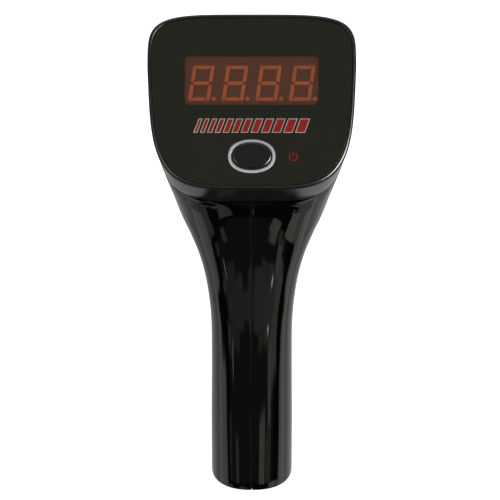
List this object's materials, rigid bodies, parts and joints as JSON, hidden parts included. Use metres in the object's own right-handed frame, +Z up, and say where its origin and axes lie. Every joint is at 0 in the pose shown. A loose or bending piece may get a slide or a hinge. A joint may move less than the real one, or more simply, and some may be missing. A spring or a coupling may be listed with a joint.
{
  "type": "speed radar gun",
  "caption": "Hand-held traffic speed radar gun: pistol grip, tilted display face with a power button, radome nose and a pull trigger.",
  "frame": {"origin": "centre of the grip's flat base, on the surface that the gun stands on", "axes": "+Z up along the grip, +Y the way the radar beam leaves, +X to the right of the user who reads the display"},
  "size_m": [0.0776, 0.0908, 0.1806],
  "materials": {
    "gloss_shell": "high-gloss black moulding",
    "satin_bezel": "satin black moulding",
    "radome": "satin black moulding",
    "gloss_panel": "smooth olive-black face plate",
    "tinted_window": "brown-red tinted clear plastic",
    "grey_trim": "light grey, satin",
    "button_black": "gloss black",
    "satin_black": "satin black moulding",
    "switch_case": "dark moulded case",
    "switch_plunger": "red moulding",
    "segment_resin": "diffusing orange resin",
    "circuit_board": "green solder mask",
    "cast_alloy": "as cast",
    "battery_cell": "foil sleeve",
    "contact_metal": "nickel plate",
    "pin_steel": "drawn steel",
    "screw_steel": "black zinc",
    "lead_sheath": "insulated wire"
  },
  "bodies": {
    "gun": {"left_shell": "gloss_shell", "right_shell": "gloss_shell", "radome": "radome", "rear_bezel": "satin_bezel", "face_panel": "gloss_panel", "display_window": "tinted_window", "button_ring": "grey_trim", "button_switch": "switch_case", "main_board": "circuit_board", "display_housing": "switch_case", "display_segments": "segment_resin", "horn_antenna": "cast_alloy", "radar_transceiver": "cast_alloy", "battery_lower": "battery_cell", "battery_upper": "battery_cell", "upper_contact": "contact_metal", "negative_contact": "contact_metal", "door_pin": "pin_steel", "trigger_pin": "pin_steel", "trigger_switch": "switch_case", "shell_screw_1": "screw_steel", "shell_screw_2": "screw_steel", "shell_screw_3": "screw_steel", "shell_screw_4": "screw_steel", "bezel_screw_1": "screw_steel", "bezel_screw_2": "screw_steel", "bezel_screw_3": "screw_steel", "bezel_screw_4": "screw_steel", "board_screw_1": "screw_steel", "board_screw_2": "screw_steel", "board_screw_3": "screw_steel", "board_screw_4": "screw_steel", "positive_lead": "lead_sheath", "negative_lead": "lead_sheath", "trigger_lead": "lead_sheath", "radar_lead": "lead_sheath"},
    "power_button": {"power_button": "button_black", "button_plunger": "switch_plunger"},
    "trigger": {"trigger": "satin_black", "trigger_spring": "pin_steel"},
    "trigger_plunger": {"trigger_plunger": "switch_plunger"},
    "battery_door": {"battery_door": "satin_black", "door_contact": "contact_metal", "battery_spring": "contact_metal"}
  },
  "joints": [
    {"name": "power_button_press", "type": "slide", "parent": "gun", "child": "power_button", "axis": [0, 0.866, -0.5], "range_m": [0, 0.001], "stiffness_N_per_m": 600, "springref_m": -0.0005},
    {"name": "trigger_pull", "type": "hinge", "parent": "gun", "child": "trigger", "pos_m": [0, 0.034, 0.097], "axis": [-1, 0, 0], "range_deg": [0, 10], "stiffness_Nm_per_rad": 0.5, "springref_deg": -5.73, "deforming": ["trigger_spring"]},
    {"name": "trigger_plunger_press", "type": "slide", "parent": "gun", "child": "trigger_plunger", "axis": [0, -1, 0], "range_m": [0, 0.0013]},
    {"name": "battery_door_swing", "type": "hinge", "parent": "gun", "child": "battery_door", "pos_m": [0, 0.016, 0.0024], "axis": [1, 0, 0], "range_deg": [0, 90]}
  ],
  "couplings": [
    {"joint": "trigger_plunger_press", "follows": "trigger_pull", "m_per_rad": 0.0057}
  ]
}
